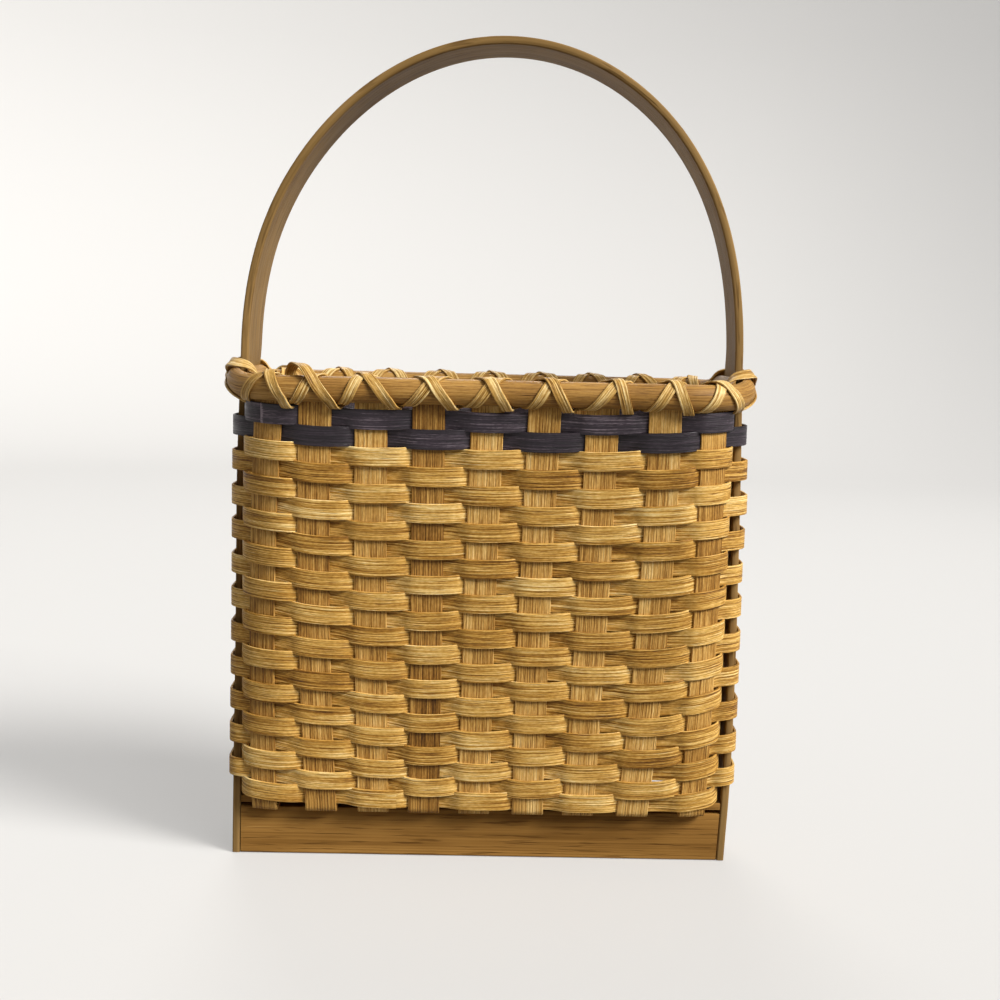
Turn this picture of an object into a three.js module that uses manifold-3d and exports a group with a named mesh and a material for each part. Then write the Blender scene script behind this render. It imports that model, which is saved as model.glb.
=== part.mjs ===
// Hanging wall basket: flat reed woven over stakes, with an oak base board and a bentwood oak handle.
// Millimetres, +Z up, the front faces -Y. The origin is the middle of the board's underside.

import * as THREE from "three";
import { mergeVertices } from "three/addons/utils/BufferGeometryUtils.js";
import Module from "manifold-3d";

// Driving dimensions

const CLEARANCE = 0.3; // kept between pieces that touch

const HANDLE_SPAN = 254; // over the outer faces of the two legs
const HANDLE_WIDTH = 38; // of the bent strip, front to back
const HANDLE_THICKNESS = 4;
const HANDLE_STRAIGHT = 10; // run of straight leg above the rim
const ARCH_RISE = 154.5; // from the end of the straight legs to the top
const ARCH_FACETS = 31; // an odd count leaves one facet level at the top
const HANDLE_EASE = 0.8; // rounding of the strip's long edges

const BOARD_HEIGHT = 30.4;
const BOARD_EASE = 1; // chamfer on the board's long edges
const GROOVE_HEIGHT = 24.8; // lower lip of the groove that holds the stakes
const GROOVE_DEPTH = 9;

const BRAD_SHANK = 1.6; // diameter
const BRAD_HEAD = 3.4; // diameter
const BRAD_HEAD_THICKNESS = 0.7;
const BRAD_LENGTH = 18;
const BRAD_HEIGHTS = { lower: 8, upper: 18 };

const STAKES = 9; // on each long wall
const STAKE_WIDTH = 15.9;
const STAKE_THICKNESS = 1.5;
const STAKE_BEND = 3; // radius where a stake turns up out of the groove
const CORNER_RUN = 32; // length of the rounded corner along the wall
const CORNER_STAKE_ANGLE = 32; // degrees round the corner to the last stake
const FOOT_DEPTH = 56; // between the middles of the two walls at the stakes' feet
const MOUTH_DEPTH = 102; // the same at the rim

const ROWS = 23; // woven rows, counted up from the board
const DYED_ROWS = 2; // the top rows
const WEAVER_WIDTH = 8.55;
const WEAVER_THICKNESS = 1.2;
const WEAVER_LAP = 1.4; // length of a weaver's flat run past each edge of a stake

const RIM_HEIGHT = 12.6; // half-round reed
const RIM_OUTER_THICKNESS = 5.6;
const RIM_INNER_THICKNESS = 5;
const RIM_LIFT = 3; // how much higher the rim lies where it passes the handle

const LASH_WIDTH = 4.6;
const LASH_THICKNESS = 1;
const LASH_SPACING = 5.3; // between the two strands where they share a gap
const LASH_LIFT = 0.55; // from the rim's rounding to the first strand
const LASH_CROSSING = 1; // from the first strand to the one that crosses over it

// Heights and lengths that follow from them

const ROW_PITCH = WEAVER_WIDTH + CLEARANCE;
const FIRST_ROW = BOARD_HEIGHT + 2 * CLEARANCE; // lower edge of the first row
const LAST_ROW_TOP = FIRST_ROW + ROWS * ROW_PITCH - CLEARANCE;
const RIM_BOTTOM = LAST_ROW_TOP + LASH_THICKNESS + 3 * CLEARANCE; // the lashing passes between
const RIM_MIDDLE = RIM_BOTTOM + RIM_HEIGHT / 2;
const RIM_TOP = RIM_BOTTOM + RIM_HEIGHT;
const FOOT_LEVEL = GROOVE_HEIGHT + CLEARANCE + STAKE_THICKNESS / 2; // middle of a stake's foot
const SPRING = RIM_TOP + RIM_LIFT + HANDLE_STRAIGHT;

const WALL_HALF_LENGTH = HANDLE_SPAN / 2 - HANDLE_THICKNESS / 2; // to the middle of a leg
const LEG_HALF_WIDTH = HANDLE_WIDTH / 2;
const STRAIGHT = WALL_HALF_LENGTH - CORNER_RUN; // half the straight length of a long wall
const CORNER_GIRTH = (Math.PI / 4) * (CORNER_RUN + MOUTH_DEPTH / 2 - LEG_HALF_WIDTH);
const QUARTER_GIRTH = STRAIGHT + CORNER_GIRTH + LEG_HALF_WIDTH;
const GIRTH = 4 * QUARTER_GIRTH;
const CORNER_STAKE = STRAIGHT + (CORNER_GIRTH * CORNER_STAKE_ANGLE) / 90;
const STAKE_PITCH = CORNER_STAKE / ((STAKES - 1) / 2);

const OAK = { color: 0x9a7040, roughness: 0.55, metalness: 0 };
const OAK_BOARD = { color: 0xa8763c, roughness: 0.55, metalness: 0 };
const REED = { color: 0xc99a56, roughness: 0.6, metalness: 0 };
const STAKE_REED = { color: 0xb98748, roughness: 0.6, metalness: 0 };
const DYED_REED = { color: 0x3f363c, roughness: 0.55, metalness: 0 };
const STEEL = { color: 0x8d8a84, roughness: 0.4, metalness: 1 };

const wasm = await Module();
wasm.setup();

const { clamp, degToRad, euclideanModulo, lerp, smoothstep } = THREE.MathUtils;

function named(name, geometry, look) {
  const mesh = new THREE.Mesh(geometry, new THREE.MeshStandardMaterial(look));
  mesh.name = name;
  return mesh;
}

// The wall: a rounded oblong that widens from the stakes' feet to the rim.
// A place on it is a distance round the wall from the middle of the front, and a height.

function halfDepth(z) {
  const share = clamp((z - FOOT_LEVEL) / (RIM_BOTTOM - FOOT_LEVEL), 0, 1);
  return lerp(FOOT_DEPTH, MOUTH_DEPTH, share) / 2;
}

function planPoint(u, z) {
  const along = euclideanModulo(u, GIRTH);
  const right = along <= GIRTH / 2;
  const half = right ? along : GIRTH - along;
  const front = half <= GIRTH / 4;
  const quarter = front ? half : GIRTH / 2 - half;
  let x = quarter;
  let y = halfDepth(z);
  if (quarter > STRAIGHT + CORNER_GIRTH) {
    x = WALL_HALF_LENGTH;
    y = QUARTER_GIRTH - quarter;
  } else if (quarter > STRAIGHT) {
    const turn = ((quarter - STRAIGHT) / CORNER_GIRTH) * (Math.PI / 2);
    x = STRAIGHT + CORNER_RUN * Math.sin(turn);
    y = LEG_HALF_WIDTH + (halfDepth(z) - LEG_HALF_WIDTH) * Math.cos(turn);
  }
  return new THREE.Vector2(right ? x : -x, front ? -y : y);
}

function planSlope(u, z) {
  const step = 0.01;
  return planPoint(u + step, z).sub(planPoint(u - step, z)).divideScalar(2 * step);
}

function wallPoint(u, z, out = 0) {
  const slope = planSlope(u, z).normalize();
  const point = planPoint(u, z);
  return new THREE.Vector3(point.x + slope.y * out, point.y - slope.x * out, z);
}

// What the weavers go over and under, in order round the wall from the left front corner.

function stakeWarp(wall, index) {
  const step = index - (STAKES + 1) / 2;
  const front = wall === "front";
  return {
    name: `stake_${wall}_${index}`,
    middle: front ? step * STAKE_PITCH : GIRTH / 2 - step * STAKE_PITCH,
    halfWidth: STAKE_WIDTH / 2,
    halfThickness: STAKE_THICKNESS / 2,
    outsideOnOdd: index % 2 === 1,
    corner: index === 1 || index === STAKES,
    leg: false,
  };
}

function legWarp(middle) {
  return {
    middle,
    halfWidth: LEG_HALF_WIDTH,
    halfThickness: HANDLE_THICKNESS / 2,
    outsideOnOdd: false,
    corner: false,
    leg: true,
  };
}

const numbers = Array.from({ length: STAKES }, (_, i) => i + 1);
const frontWarps = numbers.map((index) => stakeWarp("front", index));
const backWarps = numbers.map((index) => stakeWarp("back", index)).reverse();
const warps = [...frontWarps, legWarp(GIRTH / 4), ...backWarps, legWarp((GIRTH * 3) / 4)];

// Solids

function geometryOf(points, faces) {
  const geometry = new THREE.BufferGeometry();
  geometry.setAttribute("position", new THREE.Float32BufferAttribute(points.flatMap((p) => p.toArray()), 3));
  geometry.setIndex(faces);
  geometry.computeVertexNormals();
  return geometry;
}

// Joins matching outlines into one closed skin. An open loft is capped across its outline's two sides.

function loft(outlines, loop) {
  const count = outlines[0].length;
  const faces = [];
  const quad = (a, b, c, d) => faces.push(a, b, c, a, c, d);
  const spans = loop ? outlines.length : outlines.length - 1;
  for (let i = 0; i < spans; i += 1) {
    const here = i * count;
    const next = ((i + 1) % outlines.length) * count;
    for (let j = 0; j < count; j += 1) {
      const k = (j + 1) % count;
      quad(here + j, here + k, next + k, next + j);
    }
  }
  if (!loop) {
    const last = (outlines.length - 1) * count;
    for (let j = 0; j < count / 2 - 1; j += 1) {
      const back = count - 1 - j;
      quad(j, back, back - 1, j + 1);
      quad(last + j, last + j + 1, last + back - 1, last + back);
    }
  }
  const points = outlines.flat();
  if (signedVolume(points, faces) < 0) {
    faces.reverse();
  }
  return geometryOf(points, faces);
}

function signedVolume(points, faces) {
  let volume = 0;
  for (let i = 0; i < faces.length; i += 3) {
    const [a, b, c] = [points[faces[i]], points[faces[i + 1]], points[faces[i + 2]]];
    volume += a.dot(b.clone().cross(c)) / 6;
  }
  return volume;
}

// A bent strip: lines of points across its middle surface, thickened to both sides.

function strip(lines, thickness, loop) {
  const count = lines.length;
  const neighbour = (i) => (loop ? lines[(i + count) % count] : lines[clamp(i, 0, count - 1)]);
  const outlines = lines.map((line, i) => {
    const outer = [];
    const inner = [];
    line.forEach((point, j) => {
      const along = neighbour(i + 1)[j].clone().sub(neighbour(i - 1)[j]);
      const across = line[Math.min(j + 1, line.length - 1)].clone().sub(line[Math.max(j - 1, 0)]);
      const normal = along.cross(across).setLength(thickness / 2);
      outer.push(point.clone().add(normal));
      inner.unshift(point.clone().sub(normal));
    });
    return [...outer, ...inner];
  });
  return loft(outlines, loop);
}

function toManifold(geometry) {
  const plain = new THREE.BufferGeometry();
  plain.setAttribute("position", geometry.getAttribute("position"));
  plain.setIndex(geometry.index);
  const merged = mergeVertices(plain, 1e-4);
  const vertProperties = new Float32Array(merged.getAttribute("position").array);
  const triVerts = new Uint32Array(merged.index.array);
  return new wasm.Manifold(new wasm.Mesh({ numProp: 3, vertProperties, triVerts }));
}

function drilled(geometry, bores) {
  let solid = toManifold(geometry);
  for (const bore of bores) {
    solid = solid.subtract(toManifold(bore));
  }
  const mesh = solid.getMesh();
  const result = new THREE.BufferGeometry();
  result.setAttribute("position", new THREE.Float32BufferAttribute(mesh.vertProperties, 3));
  result.setIndex(Array.from(mesh.triVerts));
  result.computeVertexNormals();
  return result;
}

// Oak: the base board, the handle and the brads that hold them together

const BRAD_SIDES = 12;
const BOARD_HALF_LENGTH = HANDLE_SPAN / 2 - HANDLE_THICKNESS - CLEARANCE;

function bradBore(side, height) {
  const bore = new THREE.CylinderGeometry(
    BRAD_SHANK / 2 + CLEARANCE,
    BRAD_SHANK / 2 + CLEARANCE,
    2 * (BRAD_LENGTH + CLEARANCE),
    BRAD_SIDES,
  );
  bore.rotateZ(Math.PI / 2);
  bore.translate((side * HANDLE_SPAN) / 2, 0, height);
  return bore;
}

function allBores() {
  return Object.values(BRAD_HEIGHTS).flatMap((height) => [bradBore(-1, height), bradBore(1, height)]);
}

function board() {
  const half = HANDLE_WIDTH / 2;
  const grooveTop = GROOVE_HEIGHT + STAKE_THICKNESS + 2 * CLEARANCE;
  const right = [
    [half - BOARD_EASE, 0],
    [half, BOARD_EASE],
    [half, GROOVE_HEIGHT],
    [half - GROOVE_DEPTH, GROOVE_HEIGHT],
    [half - GROOVE_DEPTH, grooveTop],
    [half, grooveTop],
    [half, BOARD_HEIGHT - BOARD_EASE],
    [half - BOARD_EASE, BOARD_HEIGHT],
  ];
  const left = right.map(([y, z]) => [-y, z]).reverse();
  const section = new THREE.Shape([...right, ...left].map(([y, z]) => new THREE.Vector2(y, z)));
  const geometry = new THREE.ExtrudeGeometry(section, { depth: 2 * BOARD_HALF_LENGTH, bevelEnabled: false });
  geometry.translate(0, 0, -BOARD_HALF_LENGTH);
  const [x, y, z] = [0, 1, 2].map((axis) => new THREE.Vector3().setComponent(axis, 1));
  geometry.applyMatrix4(new THREE.Matrix4().makeBasis(y, z, x));
  return named("base_board", drilled(geometry, allBores()), OAK_BOARD);
}

function handle() {
  const outer = HANDLE_SPAN / 2;
  const inner = outer - HANDLE_THICKNESS;
  const arch = (radius, rise) =>
    new THREE.EllipseCurve(0, SPRING, radius, rise, 0, Math.PI).getPoints(ARCH_FACETS);
  const foot = (x) => new THREE.Vector2(x, 0);
  const outline = new THREE.Shape([
    foot(outer),
    ...arch(outer, ARCH_RISE),
    foot(-outer),
    foot(-inner),
    ...arch(inner, ARCH_RISE - HANDLE_THICKNESS).reverse(),
    foot(inner),
  ]);
  const geometry = new THREE.ExtrudeGeometry(outline, {
    depth: HANDLE_WIDTH - 2 * HANDLE_EASE,
    bevelThickness: HANDLE_EASE,
    bevelSize: HANDLE_EASE,
    bevelOffset: -HANDLE_EASE,
    bevelSegments: 1,
  });
  geometry.rotateX(Math.PI / 2);
  geometry.translate(0, HANDLE_WIDTH / 2 - HANDLE_EASE, 0);
  return named("handle", drilled(geometry, allBores()), OAK);
}

function brad(name, side, height) {
  const shank = BRAD_SHANK / 2;
  const head = BRAD_HEAD / 2;
  const profile = [
    [0, BRAD_HEAD_THICKNESS],
    [head * 0.8, BRAD_HEAD_THICKNESS],
    [head, 0],
    [shank, 0],
    [shank, BRAD_SHANK - BRAD_LENGTH],
    [0, -BRAD_LENGTH],
  ];
  const points = profile.reverse().map(([radius, level]) => new THREE.Vector2(radius, level));
  const geometry = new THREE.LatheGeometry(points, BRAD_SIDES);
  const mesh = named(name, geometry, STEEL);
  mesh.rotation.z = (-side * Math.PI) / 2;
  mesh.position.set(side * (HANDLE_SPAN / 2 + CLEARANCE), 0, height);
  return mesh;
}

function brads() {
  return Object.entries(BRAD_HEIGHTS).flatMap(([place, height]) => [
    brad(`brad_left_${place}`, -1, height),
    brad(`brad_right_${place}`, 1, height),
  ]);
}

// Reed: a stake lies in the board's groove, bends up and runs to the top of the rim

const BEND_STEPS = 3;
const CORNER_COLUMNS = 4; // points across a corner stake, which bends with the wall

function stake(warp) {
  const columns = warp.corner ? CORNER_COLUMNS : 2;
  const grooveEnd = LEG_HALF_WIDTH - GROOVE_DEPTH + CLEARANCE;
  const bendTop = FOOT_LEVEL + STAKE_BEND;
  const levels = [bendTop, RIM_BOTTOM, RIM_TOP - CLEARANCE];
  const columnAt = (j) => warp.middle + warp.halfWidth * (-1 + (2 * j) / (columns - 1));
  const places = Array.from({ length: columns }, (_, j) => columnAt(j));
  const foot = places.map((u) => {
    const wall = wallPoint(u, bendTop);
    return new THREE.Vector3(wall.x, Math.sign(wall.y) * grooveEnd, FOOT_LEVEL);
  });
  const lines = [foot];
  for (let i = 0; i < BEND_STEPS; i += 1) {
    const turn = (i / BEND_STEPS) * (Math.PI / 2);
    lines.push(
      places.map((u) => {
        const wall = wallPoint(u, bendTop);
        const back = STAKE_BEND * (1 - Math.sin(turn));
        const up = STAKE_BEND * (1 - Math.cos(turn));
        return new THREE.Vector3(wall.x, wall.y - Math.sign(wall.y) * back, FOOT_LEVEL + up);
      }),
    );
  }
  for (const z of levels) {
    lines.push(places.map((u) => wallPoint(u, z)));
  }
  return named(warp.name, strip(lines, STAKE_THICKNESS, false), STAKE_REED);
}

// Reed: a weaver is one closed row that runs outside one warp and inside the next

const CORNER_EASE = 0.35; // more room on a corner stake, whose bend the weaver's flat runs cut across

const TURN_STEPS = 2; // points between a corner stake and a leg

function weaverOffset(warp, odd) {
  const ease = warp.corner ? CORNER_EASE : 0;
  const offset = warp.halfThickness + CLEARANCE + WEAVER_THICKNESS / 2 + ease;
  return warp.outsideOnOdd === odd ? offset : -offset;
}

function weaverPath(row) {
  const odd = row % 2 === 1;
  const path = [];
  warps.forEach((warp, i) => {
    const out = weaverOffset(warp, odd);
    const half = warp.halfWidth + WEAVER_LAP;
    const steps = warp.corner ? CORNER_COLUMNS : 2;
    for (let s = 0; s < steps; s += 1) {
      path.push({ u: warp.middle + half * (-1 + (2 * s) / (steps - 1)), out });
    }
    const next = warps[(i + 1) % warps.length];
    if (warp.leg || next.leg) {
      path.push(...turnPoints(warp, next, path.at(-1), odd));
    }
  });
  return path;
}

function turnPoints(warp, next, from, odd) {
  const nextMiddle = next.middle < warp.middle ? next.middle + GIRTH : next.middle;
  const to = { u: nextMiddle - next.halfWidth - WEAVER_LAP, out: weaverOffset(next, odd) };
  return Array.from({ length: TURN_STEPS }, (_, i) => {
    const share = (i + 1) / (TURN_STEPS + 1);
    return { u: lerp(from.u, to.u, share), out: lerp(from.out, to.out, smoothstep(share, 0, 1)) };
  });
}

function weaver(row) {
  const low = FIRST_ROW + (row - 1) * ROW_PITCH;
  const lines = weaverPath(row).map(({ u, out }) => [
    wallPoint(u, low, out),
    wallPoint(u, low + WEAVER_WIDTH, out),
  ]);
  const dyed = row > ROWS - DYED_ROWS;
  const name = `weaver_${String(row).padStart(2, "0")}${dyed ? "_dyed" : ""}`;
  return named(name, strip(lines, WEAVER_THICKNESS, true), dyed ? DYED_REED : REED);
}

// Half-round rims: one hoop outside the stakes and one inside, spread and lifted round the legs

const LEG_EDGE = STRAIGHT + CORNER_GIRTH;
const CORNER_STAKE_EDGE = CORNER_STAKE + STAKE_WIDTH / 2;

function fromFrontMiddle(u) {
  const along = euclideanModulo(u, GIRTH / 2);
  return Math.min(along, GIRTH / 2 - along);
}

function legShare(u) {
  return smoothstep(fromFrontMiddle(u), CORNER_STAKE_EDGE, LEG_EDGE);
}

function rimSeat(u) {
  return lerp(STAKE_THICKNESS, HANDLE_THICKNESS, legShare(u)) / 2 + CLEARANCE;
}

function rimLift(u) {
  return RIM_LIFT * legShare(u);
}

// A place on the rims' skin: an angle of -90 is under the rim, 0 on its side and 90 on top of it.

function rimPoint(u, side, angle, lift) {
  const thickness = side > 0 ? RIM_OUTER_THICKNESS : RIM_INNER_THICKNESS;
  const out = rimSeat(u) + (thickness + lift) * Math.cos(degToRad(angle));
  const up = (RIM_HEIGHT / 2 + lift) * Math.sin(degToRad(angle));
  return wallPoint(u, RIM_MIDDLE, side * out).setZ(RIM_MIDDLE + rimLift(u) + up);
}

function rimNormal({ u, side, angle, lift }) {
  const step = 0.5;
  const round = rimPoint(u, side, angle + step, lift).sub(rimPoint(u, side, angle - step, lift));
  const along = rimPoint(u + step, side, angle, lift).sub(rimPoint(u - step, side, angle, lift));
  return along.cross(round).multiplyScalar(side).normalize();
}

const RIM_CORNER_STEPS = 8;
const RIM_ANGLES = [-90, -60, -30, 0, 30, 60, 90];

function rimPlaces() {
  const quarter = [0, STRAIGHT / 2];
  for (let i = 0; i <= RIM_CORNER_STEPS; i += 1) {
    quarter.push(STRAIGHT + (CORNER_GIRTH * i) / RIM_CORNER_STEPS);
  }
  const half = [...quarter, ...quarter.slice(1).reverse().map((u) => GIRTH / 2 - u)];
  return [...half, ...half.map((u) => u + GIRTH / 2)];
}

function rim(name, side) {
  const outlines = rimPlaces().map((u) => RIM_ANGLES.map((angle) => rimPoint(u, side, angle, 0)));
  return named(name, loft(outlines, true), REED);
}

// Lashing: two flat strands wound round the rims in opposite ways, crossing on every warp.
// A turn starts under the rim in the gap before a warp, climbs the outside, and comes down inside.

const LASH_TURN = [-54, -18, 18, 54, 90];
const LASH_LEG_TURN = [-72, -54, -36, -18, 0, 18, 36, 54, 72, 90];
const LASH_SLOT = LASH_THICKNESS / 2 + CLEARANCE; // middle of a strand below the rim
const LASH_TRAVEL = 0.8; // share of a way up or down by which a strand is in line with its gap or leg

function gapMiddle(warp, next) {
  const nextMiddle = next.middle < warp.middle ? next.middle + GIRTH : next.middle;
  return (warp.middle + warp.halfWidth + nextMiddle - next.halfWidth) / 2;
}

function lashTurn(before, warp, after, way, layer) {
  const start = before + (way * LASH_SPACING) / 2;
  const end = after + (way * LASH_SPACING) / 2;
  const pastLeg = LEG_HALF_WIDTH + LASH_WIDTH / 2 + 2 * CLEARANCE;
  const top = warp.leg ? warp.middle + way * pastLeg : warp.middle;
  const climb = warp.leg ? LASH_LEG_TURN : LASH_TURN;
  const points = [{ u: start, side: 1, angle: -90, lift: LASH_SLOT }];
  for (const angle of climb) {
    const share = clamp((angle + 90) / 180 / (warp.leg ? LASH_TRAVEL : 1), 0, 1);
    points.push({ u: lerp(start, top, share), side: 1, angle, lift: layer });
  }
  for (const angle of [...LASH_TURN].reverse()) {
    const share = clamp((90 - angle) / 180 / LASH_TRAVEL, 0, 1);
    points.push({ u: lerp(top, end, share), side: -1, angle, lift: layer });
  }
  points.push({ u: end, side: -1, angle: -90, lift: LASH_SLOT });
  return points;
}

function lashPath(way, layer) {
  const gaps = warps.map((warp, i) => gapMiddle(warp, warps[(i + 1) % warps.length]));
  const turns = warps.map((warp, i) => {
    const left = i === 0 ? gaps.at(-1) - GIRTH : gaps[i - 1];
    const [before, after] = way > 0 ? [left, gaps[i]] : [gaps[i], left];
    return lashTurn(before, warp, after, way, layer);
  });
  const order = way > 0 ? turns : turns.reverse();
  return order.flat();
}

function lashing(name, way, layer) {
  const path = lashPath(way, layer).map((p) => ({ ...p, point: rimPoint(p.u, p.side, p.angle, p.lift) }));
  const lines = path.map((p, i) => {
    const along = path[Math.min(i + 1, path.length - 1)].point.clone().sub(path[Math.max(i - 1, 0)].point);
    const across = along.cross(rimNormal(p)).setLength(LASH_WIDTH / 2);
    return [p.point.clone().sub(across), p.point.clone().add(across)];
  });
  const gap = leastGap(lines.flat(), 2 * (LASH_TURN.length + 1));
  console.log(`${name}: least gap of the strand to itself ${gap.toFixed(2)} mm`);
  return named(name, strip(lines, LASH_THICKNESS, false), REED);
}

// Least distance between edge points of a strand that lie more than a few steps apart along it.

function leastGap(points, skip) {
  let least = Infinity;
  points.forEach((a, i) => {
    points.slice(i + 2 * skip).forEach((b) => {
      least = Math.min(least, a.distanceTo(b));
    });
  });
  return least - LASH_THICKNESS;
}

// Assembly

const frame = new THREE.Group().add(board(), handle(), ...brads());

const woven = new THREE.Group().add(...warps.filter((warp) => !warp.leg).map(stake));
for (let row = 1; row <= ROWS; row += 1) {
  woven.add(weaver(row));
}

const firstLayer = LASH_THICKNESS / 2 + LASH_LIFT;
const secondLayer = firstLayer + LASH_THICKNESS + LASH_CROSSING;
const mouth = new THREE.Group().add(
  rim("rim_outer", 1),
  rim("rim_inner", -1),
  lashing("lashing_under", 1, firstLayer),
  lashing("lashing_over", -1, secondLayer),
);

const basket = new THREE.Group().add(frame, woven, mouth);
basket.name = "hanging_wall_basket";

export default basket;
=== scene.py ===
"""Looks of the hanging wall basket: woven flat reed, a lashed rim, an oak board and a bent handle."""

import math

import bpy
import numpy as np
from mathutils import Matrix, Vector


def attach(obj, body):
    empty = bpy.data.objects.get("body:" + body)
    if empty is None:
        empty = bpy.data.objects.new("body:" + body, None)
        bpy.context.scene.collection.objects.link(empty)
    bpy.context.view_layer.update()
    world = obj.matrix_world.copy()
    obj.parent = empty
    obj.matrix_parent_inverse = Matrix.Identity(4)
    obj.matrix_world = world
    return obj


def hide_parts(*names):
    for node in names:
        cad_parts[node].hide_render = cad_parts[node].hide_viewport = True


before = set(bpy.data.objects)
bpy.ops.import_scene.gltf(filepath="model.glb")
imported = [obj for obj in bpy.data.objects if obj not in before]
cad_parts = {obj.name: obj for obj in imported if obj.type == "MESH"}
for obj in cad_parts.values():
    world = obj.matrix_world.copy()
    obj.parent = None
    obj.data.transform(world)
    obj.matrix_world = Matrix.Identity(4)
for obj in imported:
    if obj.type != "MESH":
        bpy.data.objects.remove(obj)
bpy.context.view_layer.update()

# Sizes in millimetres, as in the solids

MM = 0.001
CLEARANCE = 0.3
HANDLE_SPAN = 254
HANDLE_WIDTH = 38
HANDLE_THICKNESS = 4
HANDLE_STRAIGHT = 10
ARCH_RISE = 154.5
BOARD_HEIGHT = 30.4
GROOVE_HEIGHT = 24.8
GROOVE_DEPTH = 9
BRAD_SHANK = 1.6
BRAD_HEAD = 3.4
BRAD_LENGTH = 18
BRAD_HEIGHTS = {"lower": 8, "upper": 18}
STAKES = 9
STAKE_WIDTH = 15.9
STAKE_THICKNESS = 1.5
STAKE_BEND = 3
CORNER_RUN = 32
CORNER_STAKE_ANGLE = 32
FOOT_DEPTH = 56
MOUTH_DEPTH = 102
ROWS = 23
DYED_ROWS = 2
WEAVER_WIDTH = 8.55
WEAVER_THICKNESS = 1.2
RIM_HEIGHT = 12.6
RIM_OUTER_THICKNESS = 5.6
RIM_INNER_THICKNESS = 5
RIM_LIFT = 3
LASH_WIDTH = 4.6
LASH_THICKNESS = 1

ROW_PITCH = WEAVER_WIDTH + CLEARANCE
FIRST_ROW = BOARD_HEIGHT + 2 * CLEARANCE
RIM_BOTTOM = FIRST_ROW + ROWS * ROW_PITCH + LASH_THICKNESS + 2 * CLEARANCE
RIM_MIDDLE = RIM_BOTTOM + RIM_HEIGHT / 2
RIM_TOP = RIM_BOTTOM + RIM_HEIGHT
FOOT_LEVEL = GROOVE_HEIGHT + CLEARANCE + STAKE_THICKNESS / 2
SPRING = RIM_TOP + RIM_LIFT + HANDLE_STRAIGHT
WALL_HALF_LENGTH = HANDLE_SPAN / 2 - HANDLE_THICKNESS / 2
LEG_HALF_WIDTH = HANDLE_WIDTH / 2
STRAIGHT = WALL_HALF_LENGTH - CORNER_RUN
CORNER_GIRTH = math.pi / 4 * (CORNER_RUN + MOUTH_DEPTH / 2 - LEG_HALF_WIDTH)
QUARTER_GIRTH = STRAIGHT + CORNER_GIRTH + LEG_HALF_WIDTH
GIRTH = 4 * QUARTER_GIRTH
CORNER_STAKE = STRAIGHT + CORNER_GIRTH * CORNER_STAKE_ANGLE / 90
STAKE_PITCH = CORNER_STAKE / ((STAKES - 1) / 2)
LEG_EDGE = STRAIGHT + CORNER_GIRTH
CORNER_STAKE_EDGE = CORNER_STAKE + STAKE_WIDTH / 2

# Handmade differences that the photograph shows, in millimetres unless a comment says otherwise

STAKE_SHIFTS = {  # of the front stakes from their even places, left to right, at three heights
    35: (-1.4, 1.4, 0.5, -1.2, -3.2, -3.4, -4.9, -4.4, 0.0),
    128: (-1.9, -1.7, -1.3, -1.3, -2.8, -3.1, -2.2, 0.8, 1.7),
    227: (2.6, -1.2, -1.8, -1.7, -1.0, -1.3, -0.8, 2.0, 0.2),
}
BACK_SHIFT = 1.2  # the most that a back stake is off its place
LEG_LEANS = {  # height and shift to the right, up each leg to the top of the arch
    "left": ((0, -1.1), (40, -0.8), (120, 0), (200, 0.2), (268, 2.3), (325, 2.2), (355, 3.3),
             (385, 4.8), (416, 6.2)),
    "right": ((0, 0.8), (26, 2.5), (60, 3.2), (115, 3.2), (200, 1.9), (270, 0.1), (300, 1.0),
              (330, 2.8), (358, 4.7), (388, 6.0), (416, 6.2)),
}
LEAN_EVENED = (-16, -8, 0, 8, 16)  # heights round a place over which a leg's lean is averaged
RIM_GRIP = (70, 50)  # where along X the rims start to follow the legs, and over what distance
BOARD_GRIP = (40, 80)
HANDLE_TURN = 1.5  # shift of the arch's back edge against its front edge
HANDLE_TURN_RISE = 30  # height over the rim's bottom at which it is reached

# The rows
ROW_LEVELS = (31, 75, 130, 190, 235)  # heights for the next three lines of values
ROW_DIPS = (2.0, 3.7, 3.7, 2.5, 1.3)  # how far the rows hang down between the legs
DIP_MIDDLES = (0.9, 0.8, 0.3, -0.2, -0.3)  # stakes from the wall's middle to the lowest place
LEG_RIDES = (3.3, 3.2, 3.0, 2.1, 1.7)  # how far the rows climb toward the legs
DIP_REACH = 4.3  # stakes from the lowest place to where the dip ends
DIP_EASE = 2.4  # stakes over which it fades out
RIDE_STARTS = {"left": 2.0, "right": 1.2}  # stake widths before the corner stakes
REED_WIDTH = 9.8  # of a weaver on a stake, where it lies over the edges of its neighbours
REED_SPREAD = (0.97, 1.02)  # least and most, as shares of it
CROSSING_WIDTH = 9.8  # where it passes between them
CROSSING_SHARE = 0.77  # of a gap, after which the rows change sides
CROSSING_TO_LEG = 0.28  # of the gap beside a leg, from the corner stake
WEAVE_FLATNESS = 4  # power, with which a weaver lies flat on a stake for longer
REACH = 1.75  # of a weaver from the wall's middle, on a stake
REACH_SPREAD = (0.96, 1.06)  # least and most, as shares of it
LEG_REACH = 2.9
LEG_SLACK = {"left": 0.9, "right": 0.8}  # how far the weavers stand off the legs
LOOSE_LEVEL = 190  # height at which they stand farthest off the right leg
LOOSE_HEIGHT = 25  # over which that fades
LOOSE_SLACK = 1.6  # what it adds
RISE_TOP = 0.4  # of a weaver on the inside of a stake, in the top row
RISE_BOTTOM = 0.0
SAG_TOP = 0.4  # how far a weaver dips on the outside of a stake, in the top row
SAG_BOTTOM = 1.4
SAG_FIRST = 0.3
WAVE_SPREAD = (0.75, 1.25)  # least and most, as shares of a rise or a sag
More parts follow.
